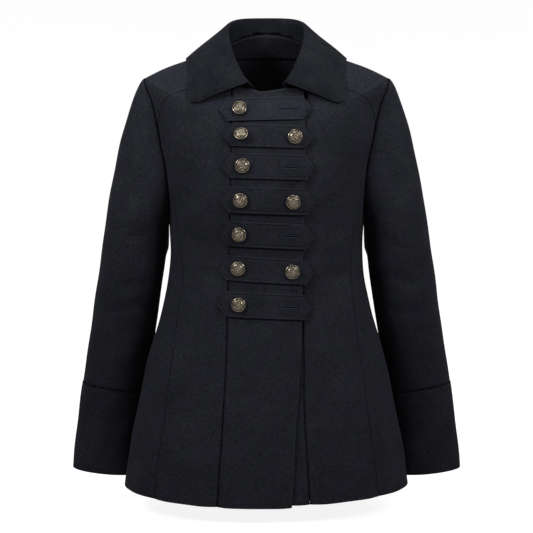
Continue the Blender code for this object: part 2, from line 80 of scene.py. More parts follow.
# The cut of what shows: width and length flat, the share of that rectangle that it fills, how
# often it is smoothed, its material slot and what it hangs from
Cut = namedtuple("Cut", "width length share levels slot hangs_from")
CUTS = {
    "back": Cut(440, 720, 0.81, 3, "coating", ["yoke_right", "yoke_left"]),
    "back_neck_facing": Cut(300, 50, 0.84, 2, "facing", ["back"]),
    "front_right": Cut(150, 700, 0.66, 3, "coating", ["yoke_right"]),
    "front_left": Cut(160, 700, 0.63, 3, "coating", ["yoke_left"]),
    "side_right": Cut(235, 500, 0.70, 3, "coating", ["front_right", "back"]),
    "side_left": Cut(235, 500, 0.70, 3, "coating", ["front_left", "back"]),
    "yoke_right": Cut(150, 150, 0.59, 3, "coating", ["back"]),
    "yoke_left": Cut(150, 150, 0.59, 3, "coating", ["back"]),
    "band_right": Cut(135, 690, 0.82, 3, "coating", ["front_right"]),
    "band_left": Cut(112, 680, 0.84, 3, "coating", ["front_left"]),
    "sleeve_right": Cut(345, 500, 0.78, 3, "coating", ["front_right", "back"]),
    "sleeve_left": Cut(345, 500, 0.78, 3, "coating", ["front_left", "back"]),
    "cuff_right": Cut(300, 135, 0.98, 3, "coating", ["sleeve_right"]),
    "cuff_left": Cut(300, 135, 0.98, 3, "coating", ["sleeve_left"]),
    "collar": Cut(480, 135, 0.95, 3, "collar_cloth", ["back"]),
}

# Tabs: middle height, height, drop at the wearer's left, tips, corners
Tab = namedtuple("Tab", "z height drop right_tip left_tip right_corner left_corner")
TABS = [
    Tab(-79, 34, -3, -71, 68, -61, 56),
    Tab(-120, 33, 4, -66, 70, -53, 59),
    Tab(-166, 37, 4, -66, 71, -55, 61),
    Tab(-218, 39, 5, -71, 74, -57, 61),
    Tab(-271, 38, 7, -71, 71, -58, 60),
    Tab(-325, 38, 9, -73, 71, -61, 60),
    Tab(-380, 38, 6, -75, 69, -62, 58),
]
for number, tab in enumerate(TABS, start=1):
    CUTS[f"tab_{number}"] = Cut(tab.left_tip - tab.right_tip, tab.height, 0.95, 4, "coating",
                                ["band_right"])
HOLED_TABS = (1, 3, 5, 7)

# Soft creases in the cloth of the body: a line of (angle, height), half width, depth
Crease = namedtuple("Crease", "line width depth")
CREASES = [
    # below the bust and over the hip, in the fronts
    Crease([(62, -190), (50, -215), (38, -228)], 11, 1.2),
    Crease([(-62, -196), (-48, -222), (-36, -238)], 12, 1.3),
    Crease([(66, -255), (48, -272)], 10, 0.9),
    Crease([(-66, -262), (-46, -284)], 11, 1.0),
    Crease([(70, -330), (44, -338)], 12, 1.1),
    Crease([(-70, -336), (-40, -330)], 12, 1.1),
    Crease([(38, -440), (43, -560), (46, -680)], 24, 2.0),
    Crease([(-36, -430), (-42, -560), (-45, -680)], 26, 2.0),
    Crease([(68, -430), (72, -560), (76, -690)], 26, 2.6),
    Crease([(-70, -420), (-74, -560), (-77, -690)], 24, 2.4),
    # the back, at the waist and in the skirt
    Crease([(118, -250), (140, -275), (165, -282)], 12, 1.3),
    Crease([(238, -256), (214, -280), (192, -288)], 12, 1.3),
    Crease([(122, -318), (150, -330), (182, -326)], 13, 1.4),
    Crease([(232, -342), (205, -338)], 12, 1.1),
    Crease([(142, -420), (140, -560), (138, -690)], 28, 2.4),
    Crease([(180, -440), (182, -570), (183, -690)], 30, 2.0),
    Crease([(219, -415), (222, -560), (224, -690)], 27, 2.5),
    Crease([(128, -90), (150, -118), (172, -128)], 16, 1.2),
    Crease([(230, -96), (208, -122)], 15, 1.1),
]
# where one piece alone sinks: the under front below the collar
PIECE_CREASES = {
    "front_left": [Crease([(33, -50), (36, -62)], 9, 4.5)],
    "band_left": [Crease([(33, -50), (36, -62)], 9, 4.5)],
}
# the collar's points, drawn out square: place, way and how far, and how far off it fades
CollarPoint = namedtuple("CollarPoint", "place pull reach")
COLLAR_POINTS = [CollarPoint((side * 115.0, -97.0, -63.0), (side * 1.9, -0.6, -1.9), 8.5)
                 for side in (-1, 1)]
# creases in the sleeves, and at the end of each list a ridge along the inner side
SLEEVE_CREASES = {
    "sleeve_right": [
        Crease([(-28, -120), (-14, -160), (6, -205), (20, -240)], 10, 2.2),
        Crease([(38, -170), (30, -215), (20, -262)], 13, 1.6),
        Crease([(-60, -232), (-30, -262), (0, -276)], 12, 1.8),
        Crease([(-58, -330), (-30, -352), (10, -356)], 12, 1.9),
        Crease([(-50, -392), (-18, -386), (22, -402)], 13, 1.7),
        Crease([(64, -430), (30, -452), (-10, -458)], 15, 1.3),
        Crease([(150, -300), (190, -336), (228, -348)], 14, 1.9),
        Crease([(140, -392), (176, -398), (214, -380)], 14, 1.7),
        Crease([(200, -180), (215, -230)], 14, 1.4),
        Crease([(-24, -575), (4, -640)], 17, 1.1),
        Crease([(-124, -196), (-122, -250), (-120, -296)], 19, -7.5),
    ],
    "sleeve_left": [
        Crease([(-30, -132), (-10, -172), (8, -212)], 11, 1.9),
        Crease([(34, -150), (26, -205), (30, -250)], 14, 1.5),
        Crease([(-62, -248), (-34, -270), (-6, -292)], 12, 1.6),
        Crease([(-60, -345), (-26, -338), (14, -352)], 13, 1.8),
        Crease([(-52, -380), (-22, -398), (12, -396)], 12, 1.6),
        Crease([(56, -442), (20, -436)], 15, 1.2),
        Crease([(146, -322), (184, -344), (222, -336)], 14, 1.8),
        Crease([(152, -376), (190, -402), (226, -398)], 14, 1.6),
        Crease([(205, -190), (212, -246)], 14, 1.3),
        Crease([(20, -570), (-6, -636)], 17, 1.0),
        Crease([(-124, -196), (-122, -250), (-120, -296)], 19, -7.5),
    ],
}

# Middle line of a sleeve: height, distance to the side, distance to the back
SLEEVE_LINE = [(-666, 267.4, 60), (-608, 261, 60), (-555, 253.6, 56), (-500, 244.8, 48),
               (-445, 234.8, 37), (-382, 224.2, 22), (-320, 214.4, 10), (-262, 206.6, 2),
               (-150, 192, 2), (-20, 176, 2)]
ARMHOLE_LOW = -235.0               # the armholes lie above this height
ARMHOLE_FADE = 70.0                # a sleeve's own creases start within this distance of its armhole
BODY_FADE = 25.0                   # and near the armhole it moves with the body
BODY_RADIUS = 150.0                # turns an angle into a length round the body
SLEEVE_RADIUS = 50.0               # and round a sleeve
BANK = 0.55                        # how high the banks beside a crease stand, against its depth
UNEVEN = (0.25, 23.0, 17.0)        # how uneven a crease is along it: share, and two wave lengths
WAVES = 9                          # gentle unevenness, on top of the creases
WAVE_DEPTH = 0.16
WAVE_LENGTHS = (55.0, 150.0)

WELD = 0.00002                     # metres, between corners that are one corner
FLAT_PAIR = math.radians(60)       # two triangles that bend less than this are one face
SQUARE_PAIR = math.radians(80)     # and its corners are no further from square than this
RIM_WIDTH = 0.0034                 # a face narrower than this is part of a cut edge
RIM_TURN = math.radians(30)        # and a cut edge bends more than this
COLLAR_TURN = math.radians(50)     # the collar's fold bends nearly as sharply as an edge
CORNER_TURN = math.radians(32)     # a cut edge that turns more than this has a corner
HOLD_STEPS = 2
# a sleeve's seam allowance in two steps: how far in from the armhole, and how far into the body
ALLOWANCE = ((3.6, 0.5), (0.5, 7.0))
OUTER_WALL = 0.25                  # a face that looks out or up by more than this is the outer wall
RIM_CREASE = 0.8                   # how sharp a cut edge stays
RIM_STEP = 2.0                     # millimetres, from one marked point of a cut edge to the next
SEWN_GAP = 2.6                     # two cut edges nearer than this are sewn together
FAR_FROM_EDGE = 30.0               # the distance given where a piece has no such edge
FAINT_SEAMS = ({"front", "side"}, {"front", "yoke"}, {"side", "back"})
FAINT_BY = 0.6                     # these seams are pressed open and get less painted shade
RIMS = {}                          # points along the cut edges of each piece, once they are worked out


def to_linear(code):
    """An sRGB hex colour as linear RGB with alpha."""
    parts = [int(code[i:i + 2], 16) / 255 for i in (1, 3, 5)]
    return (*[c / 12.92 if c <= 0.04045 else ((c + 0.055) / 1.055) ** 2.4 for c in parts], 1.0)


# Materials


MIX_SHARE, MIX_FIRST, MIX_SECOND, MIXED = 0, 6, 7, 2     # the sockets of a colour Mix node
COLOUR_MIX = {"data_type": "RGBA"}


def add_node(tree, kind, settings=None, inputs=None):
    """Add a node with its settings and its inputs: a socket is linked, a value is set."""
    node = tree.nodes.new(kind)
    for name, value in (settings or {}).items():
        setattr(node, name, value)
    for name, value in (inputs or {}).items():
        if isinstance(value, bpy.types.NodeSocket):
            tree.links.new(value, node.inputs[name])
        else:
            node.inputs[name].default_value = value
    return node


def new_material(name, values):
    """An empty material with its shader, whose steady values are set on its own sockets."""
    if name in bpy.data.materials:
        return bpy.data.materials[name], None, None
    made = bpy.data.materials.new(name)
    made.use_nodes = True
    tree = made.node_tree
    shader = tree.nodes["Principled BSDF"]
    for socket, value in values.items():
        shader.inputs[socket].default_value = value
    return made, tree, shader


def wool(name, dark, light, tint, nap):
    """Wool coating, woven in a twill and milled until short fibres half hide the weave.

    It gives the eye a matt, nearly black navy with a cloudy nap, a trace of the twill and
    pale specks of lint. Next to sewn seams the colour is darkened as painted shade, and along
    turned edges it is lightened as a painted highlight of the rolled edge, which is also a
    little rubbed.
    """
    made, tree, shader = new_material(name, {
        "Roughness": 0.95, "Specular IOR Level": 0.03, "Sheen Weight": 0.02,
        "Sheen Roughness": 0.5, "Sheen Tint": to_linear("#8A90A8")})
    if tree is None:
        return made
    place = add_node(tree, "ShaderNodeTexCoord").outputs["Object"]
    flat = add_node(tree, "ShaderNodeUVMap", {"uv_map": "cloth"}).outputs["UV"]
    # clouds 50 mm across, where the nap lies different ways, and patches 30 mm across of a cooler dye
    clouds = add_node(tree, "ShaderNodeTexNoise", {}, {"Vector": place, "Scale": 20.0, "Detail": 3.0})
    dye = add_node(tree, "ShaderNodeTexNoise", {}, {"Vector": flat, "Scale": 34.0, "Detail": 2.0})
    # tufts of fibre 4 mm across, three times as coarse as real ones, to show
    tufts = add_node(tree, "ShaderNodeTexNoise", {},
                     {"Vector": place, "Scale": 250.0, "Detail": 4.0, "Roughness": 0.7})
    # fibres of about 1.3 mm, the finest that show
    fibres = add_node(tree, "ShaderNodeTexNoise", {},
                      {"Vector": place, "Scale": 760.0, "Detail": 2.0, "Roughness": 0.7})
    # twill lines 3 mm apart, three times as coarse as real ones
    turned = add_node(tree, "ShaderNodeMapping", {},
                      {"Vector": flat, "Rotation": (0.0, 0.0, math.radians(58))})
    twill = add_node(tree, "ShaderNodeTexWave", {"bands_direction": "X"}, {
        "Vector": turned.outputs["Vector"], "Scale": 105.0, "Distortion": 1.4, "Detail": 2.0,
        "Detail Scale": 2.5})
    lay = add_node(tree, "ShaderNodeMapRange", {},
                   {"Value": clouds.outputs["Fac"], "From Min": 0.3, "From Max": 0.7})
    wet = add_node(tree, "ShaderNodeMapRange", {},
                   {"Value": dye.outputs["Fac"], "From Min": 0.45, "From Max": 0.75})
    cloudy = add_node(tree, "ShaderNodeMix", COLOUR_MIX,
                      {MIX_SHARE: lay.outputs["Result"], MIX_FIRST: dark, MIX_SECOND: light})
    dyed = add_node(tree, "ShaderNodeMix", COLOUR_MIX,
                    {MIX_SHARE: wet.outputs["Result"], MIX_FIRST: cloudy.outputs[MIXED], MIX_SECOND: tint})
    colour = dyed.outputs[MIXED]
    seam = add_node(tree, "ShaderNodeAttribute", {"attribute_name": "seam"}).outputs["Fac"]
    edge = add_node(tree, "ShaderNodeAttribute", {"attribute_name": "edge"}).outputs["Fac"]
    # what lightens or darkens the dyed colour: its source, the range read and the factors given. The seam
    # mark paints shade beside sewn seams; the edge mark paints a highlight, with some rubbed wear, along
    # turned edges
    for source, low, high, at_low, at_high in (
            (tufts.outputs["Fac"], 0.3, 0.7, 0.6, 1.4), (twill.outputs["Fac"], 0.0, 1.0, 0.93, 1.07),
            (seam, 0.4, 2.4, 0.22, 1.0), (edge, 0.3, 2.6, 1.4, 1.0)):
        factor = add_node(tree, "ShaderNodeMapRange", {}, {
            "Value": source, "From Min": low, "From Max": high, "To Min": at_low, "To Max": at_high})
        shaded = add_node(tree, "ShaderNodeVectorMath", {"operation": "SCALE"},
                          {0: colour, "Scale": factor.outputs["Result"]})
        colour = shaded.outputs["Vector"]
    # lint, a speck of 1 mm in one of every eight patches 14 mm across
    lint = add_node(tree, "ShaderNodeTexVoronoi", {}, {"Vector": place, "Scale": 70.0})
    near = add_node(tree, "ShaderNodeMapRange", {},
                    {"Value": lint.outputs["Distance"], "From Min": 0.05, "From Max": 0.03})
    picked = add_node(tree, "ShaderNodeSeparateColor", {}, {"Color": lint.outputs["Color"]})
    rare = add_node(tree, "ShaderNodeMapRange", {},
                    {"Value": picked.outputs["Red"], "From Min": 0.86, "From Max": 0.90})
    speck = add_node(tree, "ShaderNodeMath", {"operation": "MULTIPLY"},
                     {0: near.outputs["Result"], 1: rare.outputs["Result"]})
    linted = add_node(tree, "ShaderNodeMix", COLOUR_MIX, {
        MIX_SHARE: speck.outputs["Value"], MIX_FIRST: colour, MIX_SECOND: to_linear("#4A4E5A")})
    tree.links.new(linted.outputs[MIXED], shader.inputs["Base Color"])
    # relief: fibres, tufts, twill lines and the groove along a seam, each as strength and depth
    ditch = add_node(tree, "ShaderNodeMapRange", {}, {"Value": seam, "From Min": 0.0, "From Max": 2.6})
    lower = None
    for source, strength, depth in (
            (fibres.outputs["Fac"], 0.5, 0.0005 * nap), (tufts.outputs["Fac"], 0.6, 0.0012 * nap),
            (twill.outputs["Fac"], 0.25, 0.0004), (ditch.outputs["Result"], 0.8, 0.0012)):
        relief = {"Height": source, "Strength": strength, "Distance": depth}
        if lower:
            relief["Normal"] = lower
        lower = add_node(tree, "ShaderNodeBump", {}, relief).outputs["Normal"]
    tree.links.new(lower, shader.inputs["Normal"])
    return made


def sewing_thread():
    choice = bpy.context.scene.coat_stitching
    return thread_material("Sewing thread", tuple(choice.thread_dark), tuple(choice.thread_light))


def thread_material(name, dark, light):
    """Twisted polyester thread, a little smoother and lighter than the wool that it sinks in. Along the
    twist its colour swings between a painted lit side and a painted shaded side.
    """
    made, tree, shader = new_material(name, {"Roughness": 0.7, "Specular IOR Level": 0.15})
    if tree is None:
        return made
    place = add_node(tree, "ShaderNodeTexCoord").outputs["Object"]
    # the twist of the plies, 1 mm long, four times as coarse as real; it sets where painted light and
    # shade fall on them
    twist = add_node(tree, "ShaderNodeTexNoise", {}, {"Vector": place, "Scale": 900.0, "Detail": 2.0})
    lit_and_shaded_plies = add_node(tree, "ShaderNodeMix", COLOUR_MIX, {
        MIX_SHARE: twist.outputs["Fac"], MIX_FIRST: dark, MIX_SECOND: light})
    tree.links.new(lit_and_shaded_plies.outputs[MIXED], shader.inputs["Base Color"])
    bump = add_node(tree, "ShaderNodeBump", {},
                    {"Height": twist.outputs["Fac"], "Strength": 0.4, "Distance": 0.0001})
    tree.links.new(bump.outputs["Normal"], shader.inputs["Normal"])
    return made


def brass_material():
    """Die-stamped brass with a brown patina, rubbed back to bare metal on the raised parts."""
    made, tree, shader = new_material("Aged stamped brass", {"Metallic": 1.0})
    if tree is None:
        return made
    choice = bpy.context.scene.coat_buttons
    place = add_node(tree, "ShaderNodeTexCoord").outputs["Object"]
    worn = add_node(tree, "ShaderNodeAttribute", {"attribute_name": "worn"}).outputs["Fac"]
    # stains of the patina, 2.5 mm across
    stains = add_node(tree, "ShaderNodeTexNoise", {},
                      {"Vector": place, "Scale": 420.0, "Detail": 4.0, "Roughness": 0.65})
    rubbed = add_node(tree, "ShaderNodeMath", {"operation": "MULTIPLY_ADD"},
                      {0: stains.outputs["Fac"], 1: 0.9, 2: worn})
    bare = add_node(tree, "ShaderNodeMapRange", {},
                    {"Value": rubbed.outputs["Value"], "From Min": 0.5, "From Max": 1.15})
    aged = add_node(tree, "ShaderNodeMix", COLOUR_MIX, {
        MIX_SHARE: bare.outputs["Result"], MIX_FIRST: tuple(choice.patina_colour),
        MIX_SECOND: tuple(choice.metal_colour)})
    tree.links.new(aged.outputs[MIXED], shader.inputs["Base Color"])
    rough = add_node(tree, "ShaderNodeMapRange", {},
                     {"Value": bare.outputs["Result"], "To Min": 0.5, "To Max": 0.24})
    tree.links.new(rough.outputs["Result"], shader.inputs["Roughness"])
    bump = add_node(tree, "ShaderNodeBump", {},
                    {"Height": stains.outputs["Fac"], "Strength": 0.35, "Distance": 0.0002})
    tree.links.new(bump.outputs["Normal"], shader.inputs["Normal"])
    return made


def material_for(slot):
    """The wool of a piece: the collar is brushed up more and coloured darker than the body's as painted
    shade, the strip inside the neck brushed less.
    """
    choice = bpy.context.scene.coat_cloth
    dark, light, tint = tuple(choice.cloth_dark), tuple(choice.cloth_light), tuple(choice.cloth_tint)
    if slot == "collar_cloth":
        # the collar's colours are darker than the body's wool: painted shade
        brushed = tuple(choice.collar_shaded_colour)
        return wool("Brushed melton wool with painted shade", brushed, dark, brushed, 1.1)
    if slot == "facing":
        return wool("Wool twill facing", dark, light, tint, 0.6)
    return wool("Felted wool coating", dark, light, tint, 1.0)


# Cloth


def on_line(cloth, points):
    """Angle, height, distance round and outward direction of points on one of the forms."""
    height = points[:, 2]
    if cloth == "body":
        middle_x = middle_y = np.zeros(len(points))
        radius = BODY_RADIUS
        turn = np.arctan2(points[:, 0], -points[:, 1])
    else:
        side = -1 if cloth.endswith("right") else 1
        heights, outs, backs = zip(*SLEEVE_LINE)
        middle_x = side * np.interp(height, heights, outs)
        middle_y = np.interp(height, heights, backs)
        radius = SLEEVE_RADIUS
        turn = np.arctan2(side * (points[:, 0] - middle_x), -(points[:, 1] - middle_y))
    out = np.stack([points[:, 0] - middle_x, points[:, 1] - middle_y, np.zeros(len(points))], 1)
    out /= np.maximum(np.linalg.norm(out, axis=1, keepdims=True), 0.001)
    return np.degrees(turn), height, radius, out


def crease_depth(crease, angle, height, radius):
    """How far a crease moves the cloth: a trough with soft low banks, uneven along it."""
    around = np.radians((angle - crease.line[0][0] + 180) % 360 - 180) * radius
    start = math.radians(crease.line[0][0])
    nearest = np.full(len(angle), 1e9)
    for first, last in zip(crease.line, crease.line[1:]):
        a = np.array([(math.radians(first[0]) - start) * radius, first[1]])
        b = np.array([(math.radians(last[0]) - start) * radius, last[1]])
        along = b - a
        share = ((around - a[0]) * along[0] + (height - a[1]) * along[1]) / (along @ along)
        share = np.clip(share, 0, 1)
        gap = np.hypot(around - a[0] - share * along[0], height - a[1] - share * along[1])
        nearest = np.minimum(nearest, gap)
    far = (nearest / crease.width) ** 2
    strength, rise, turn = UNEVEN
    uneven = 1 + strength * np.sin(height / rise + crease.width) * np.cos(around / turn)
    return -crease.depth * uneven * (1 - BANK * far) * np.exp(-far)


def wave_depth(cloth, angle, height, radius):
    """Gentle unevenness: long waves that cross each other, the same ones on every run."""
    draw = random.Random(len(cloth))
    total = np.zeros(len(angle))
    around = np.radians(angle)
    for _ in range(WAVES):
        length = draw.uniform(*WAVE_LENGTHS)
        turns = round(draw.uniform(-1, 1) * math.tau * radius / length)
        rise = math.tau / length * draw.uniform(0.5, 1.0)
        phase = draw.uniform(0, math.tau)
        total += WAVE_DEPTH * np.sin(turns * around + rise * height + phase)
    return total


def soft_moves(cloth, points):
    """How far each point moves for the creases and waves, in millimetres."""
    scale = bpy.context.scene.coat_cloth.crease_scale
    angle, height, radius, out = on_line(cloth, points)
    rows = CREASES if cloth == "body" else SLEEVE_CREASES[cloth]
    depth = sum(crease_depth(crease, angle, height, radius) for crease in rows)
    depth = scale * depth + wave_depth(cloth, angle, height, radius)
    return depth[:, None] * out


def form_of(name):
    """The form that a piece of cloth lies on: the body or one of the sleeves."""
    if name.startswith(("sleeve", "cuff")):
        return "sleeve_" + name.split("_")[1]
    return "body"


def read_points(mesh):
    points = np.zeros(len(mesh.vertices) * 3)
    mesh.vertices.foreach_get("co", points)
    return points.reshape(-1, 3)


def write_points(mesh, points):
    mesh.vertices.foreach_set("co", points.ravel())
    mesh.update()


def base_shape(name):
    """A CAD node's mesh, merged and turned back to four-sided faces, with its cut edges creased."""
    shape = bmesh.new()
    shape.from_mesh(NODES[name].data)
    bmesh.ops.remove_doubles(shape, verts=shape.verts, dist=WELD)
    bmesh.ops.join_triangles(shape, faces=shape.faces, angle_face_threshold=FLAT_PAIR,
                             angle_shape_threshold=SQUARE_PAIR, topology_influence=1.5)
    narrow = {face for face in shape.faces
              if face.calc_area() < RIM_WIDTH * max(edge.calc_length() for edge in face.edges)}
    turn = COLLAR_TURN if name == "collar" else RIM_TURN
    crease = shape.edges.layers.float.new("crease_edge")
    for edge in shape.edges:
        if len(edge.link_faces) == 2 and edge.calc_face_angle_signed(0.0) > turn:
            if narrow.intersection(edge.link_faces):
                edge[crease] = RIM_CREASE
    corner = shape.verts.layers.float.new("crease_vert")
    for vertex in shape.verts:
        ways = [(edge.other_vert(vertex).co - vertex.co).normalized()
                for edge in vertex.link_edges if edge[crease] and edge.calc_length() > RIM_WIDTH]
        if len(ways) == 2 and math.pi - ways[0].angle(ways[1]) > CORNER_TURN:
            vertex[corner] = 1.0
    return shape, crease


def add_allowance(shape, crease, name):
    """Turn a sleeve's seam allowance in behind the armhole's edge, so that no light passes."""
    side = -1 if name.endswith("right") else 1
    ring = [face for face in shape.faces if face.calc_center_median().z > ARMHOLE_LOW * MM
            and sum(edge[crease] > 0 for edge in face.edges) >= 2]
    middle = sum((face.calc_center_median() for face in ring), Vector()) / len(ring)
    for inward, sideways in ALLOWANCE:
        grown = bmesh.ops.extrude_face_region(shape, geom=ring)["geom"]
        ring = [item for item in grown if isinstance(item, bmesh.types.BMFace)]
        for vertex in {vertex for face in ring for vertex in face.verts}:
            way = middle - vertex.co
            way.x = 0
            vertex.co += way.normalized() * inward * MM - Vector((side * sideways * MM, 0, 0))


def rim_points(name):
    """Points in even steps along every cut edge of a piece."""
    shape, crease = base_shape(name)
    points = []
    for edge in shape.edges:
        if edge[crease]:
            first, last = (vertex.co for vertex in edge.verts)
            count = max(1, math.ceil(edge.calc_length() / (RIM_STEP * MM)))
            points += [first.lerp(last, step / count) for step in range(count)]
    shape.free()
    return points


def tree_through(points):
    tree = KDTree(len(points))
    for index, point in enumerate(points):
        tree.insert(point, index)
    tree.balance()
    return tree


def edge_kinds(name):
    """A piece's cut edges: sewn to another piece, sewn in a faint seam, or turned under."""
    if name not in RIMS:
        RIMS.update({piece: rim_points(piece) for piece in CUTS})
    others = [(piece, point) for piece in CUTS if piece != name and not piece.startswith("tab")
              for point in RIMS[piece]]
    tree = tree_through([point for _, point in others])
    kinds = {"sewn": [], "faint": [], "turned": []}
    for point in RIMS[name]:
        _, index, gap = tree.find(point)
        pair = {name.split("_")[0], others[index][0].split("_")[0]}
        kind = "turned" if gap > SEWN_GAP * MM else "faint" if pair in FAINT_SEAMS else "sewn"
        kinds[kind].append(point)
    return kinds


def gaps_to(points, places):
    """How far each place is from the nearest of some points, in millimetres."""
    if not points:
        return np.full(len(places), FAR_FROM_EDGE)
    tree = tree_through(points)
    return np.array([tree.find(place)[2] for place in places]) / MM


def write_mark(mesh, name, values):
    mesh.attributes.new(name, "FLOAT", "POINT").data.foreach_set("value", values)


def cloth_moves(name, points):
    """How far the points of a piece move. At its armhole a sleeve moves with the body."""
    own = soft_moves(form_of(name), points)
    if name in PIECE_CREASES:
        angle, height, radius, out = on_line("body", points)
        sunk = sum(crease_depth(row, angle, height, radius) for row in PIECE_CREASES[name])
        own += sunk[:, None] * out
    if name == "collar":
        for corner in COLLAR_POINTS:
            far = np.linalg.norm(points - corner.place, axis=1, keepdims=True) / corner.reach
            own = own + np.exp(-far ** 2) * np.array(corner.pull)
    if not name.startswith("sleeve"):
        return own
    armhole = [point for point in RIMS[name] if point.z > ARMHOLE_LOW * MM]
    gaps = gaps_to(armhole, points * MM)[:, None]
    near = np.exp(-(gaps / BODY_FADE) ** 2)
    return own * np.clip(gaps / ARMHOLE_FADE, 0, 1) + near * soft_moves("body", points)


def rim_paths(shape, crease, cloth, inset):
    """Closed paths beside the cut edges of a piece's outer wall, a given way in from them."""
    # kept in order, so that every run sews the same stitches
    outer = {}
    for edge in shape.edges:
        if not edge[crease]:
            continue
        for face in edge.link_faces:
            middle = np.array([face.calc_center_median()]) / MM
            out = Vector(on_line(cloth, middle)[3][0])
            looks_out = face.normal.dot(out + Vector((0, 0, 1))) > OUTER_WALL
            inner_edge = not all(e[crease] for e in face.edges)
            wide = face.calc_area() >= RIM_WIDTH * max(e.calc_length() for e in face.edges)
            if looks_out and inner_edge and wide:
                outer[edge] = None
    left = dict(outer)
    paths = []
    while left:
        edge, _ = left.popitem()
        chain = [edge.verts[0], edge.verts[1]]
        while True:
            step = next((e for e in chain[-1].link_edges if e in left), None)
            if step is None:
                break
            del left[step]
            chain.append(step.other_vert(chain[-1]))
        points = []
        for corner in dict.fromkeys(chain):
            inward = [e for e in corner.link_edges if not e[crease]]
            rims = [e for e in corner.link_edges if e in outer]
            lines = inward[:1] or rims
            way = sum(((e.other_vert(corner).co - corner.co).normalized() for e in lines), Vector())
            points.append(corner.co + inset * MM * way)
        paths.append(points)
    return paths


def smoothed(rough):
    """The mesh of an object with its modifiers applied."""
    bpy.context.view_layer.update()
    graph = bpy.context.evaluated_depsgraph_get()
    return bpy.data.meshes.new_from_object(rough.evaluated_get(graph))


def hold_places(rough, smooth):
    """Move the corners of a coarse mesh until the smoothed one passes through their places."""
    places = read_points(rough.data)
    smooth.levels = smooth.render_levels = 1
    for _ in range(HOLD_STEPS):
        fine = smoothed(rough)
        write_points(rough.data, read_points(rough.data) + places - read_points(fine)[:len(places)])
        bpy.data.meshes.remove(fine)


def cloth_object(name, cut):
    """A thin two-sided cloth on a CAD node's form, smoothed, creased and finished."""
    shape, crease = base_shape(name)
    if name.startswith("sleeve"):
        add_allowance(shape, crease, name)
    mesh = bpy.data.meshes.new(name + "_cloth")
    shape.to_mesh(mesh)
    shape.free()
    rough = bpy.data.objects.new(name + "_rough", mesh)
    bpy.context.scene.collection.objects.link(rough)
    smooth = rough.modifiers.new("smooth", "SUBSURF")
    if name != "collar":
        hold_places(rough, smooth)
    smooth.levels = smooth.render_levels = cut.levels
    fine = smoothed(rough)
    bpy.data.objects.remove(rough)
    bpy.data.meshes.remove(mesh)
    cloth = form_of(name)
    places = read_points(fine)
    kinds = edge_kinds(name)
    # the seam mark, the distance to sewn seams, paints shade beside them; the edge mark, the distance to
    # turned edges, paints a highlight with some rubbed wear
    seam = np.minimum(gaps_to(kinds["sewn"], places), gaps_to(kinds["faint"], places) + FAINT_BY)
    write_mark(fine, "seam", seam)
    write_mark(fine, "edge", gaps_to(kinds["turned"], places))
    write_points(fine, (places / MM + cloth_moves(name, places / MM)) * MM)
    flat_map(fine, cloth)
    fine.materials.clear()
    fine.materials.append(material_for(cut.slot))
    fine.shade_smooth()
    made = bpy.data.objects.new(name + "_cloth", fine)
    bpy.context.scene.collection.objects.link(made)
    return made


def flat_map(mesh, cloth):
    """A map in metres, round the form and up it, for the weave to follow."""
    points = read_points(mesh) / MM
    angle, height, radius, _ = on_line(cloth, points)
    corners = np.zeros(len(mesh.loops), dtype=int)
    mesh.loops.foreach_get("vertex_index", corners)
    starts = np.zeros(len(mesh.polygons), dtype=int)
    mesh.polygons.foreach_get("loop_start", starts)
    round_angle = angle[corners]
    ends = np.append(starts[1:], len(corners))
    highest = np.repeat(np.maximum.reduceat(round_angle, starts), ends - starts)
    round_angle = np.where(round_angle < highest - 180, round_angle + 360, round_angle)
    places = np.stack([np.radians(round_angle) * radius * MM, height[corners] * MM], 1)
    layer = mesh.uv_layers.new(name="cloth")
    layer.data.foreach_set("uv", places.ravel())


def declare(made, name):
    """Hide the CAD node that the cloth stands for and attach the cloth to the root body."""
    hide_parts(name)
    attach(made, ROOT)


def dress(names):
    for name in names:
        declare(cloth_object(name, CUTS[name]), name)


# Stitching


LINE_STEP = 1.0                      # millimetres, between the points of a stitched line
STITCH_FLAT = 1.3                    # how much flatter than wide a stitch lies
STITCH_SINK = 0.3                    # the share of its thickness by which a stitch stands up
STITCH_GAP = 0.12                    # the share of its length left free at each end
CHANNEL_REACH = 3                    # a channel ends this many half widths away
STITCHED_SHADE = 1.2                 # a stitched channel gets the painted shade of a seam this far off
HOLE_START, HOLE_END = 22.0, 46.5    # millimetres to the wearer's left of the middle
HOLE_STITCHES = 30
HOLE_THREAD = 0.6
HOLE_LIPS = (0.9, 2.2)               # a close stitch runs from here to here beside the slit
HOLE_BAR = (2.0, 1.4)                # the bar at each end: half length, thickness against the thread
HOLE_SLIT = (0.9, 1.5, -1.2)         # the slit: half width, depth, and painted seam shade; below zero it paints the slit fully dark as the shade of an opening
RIB = (1.1, 0.5, 1.5)                # a rib: half width, depth, painted seam shade
RIB_PLACES = (4.0, 7.5)              # millimetres above a tab
RIB_INSET = 8.0                      # it ends this far inside the tab's corners
RIB_STEP = 1.5
BAND_ROWS = (3.0, 6.4, 9.8)          # rows of stitching along the upper band's top, from its edge
BAND_TOP = -66.0                     # and they lie above this
CUFF_TOP = -610.0
NECK_SEAM = ((-90.0, -51.0), (62.0, 47.0))     # front and back of the neck seam, depth and height
NECK_CLEAR = 9.0                     # the collar's stitching stays this far below it
IN_FRONT = -200.0                    # a depth that is clear of the coat's front
BACKWARDS = Vector((0, 1, 0))


def even_points(points, spacing):
    """Walk along a line in even steps."""
    line = list(points)
    result = [line[0].copy()]
    left = spacing
    for first, last in zip(line, line[1:]):
        length = (last - first).length
        at = left
        while at <= length:
            result.append(first.lerp(last, at / length))
            at += spacing
        left = at - length
    return result


def tree_of(made):
    mesh = made.data
    return BVHTree.FromPolygons([v.co for v in mesh.vertices], [p.vertices[:] for p in mesh.polygons])


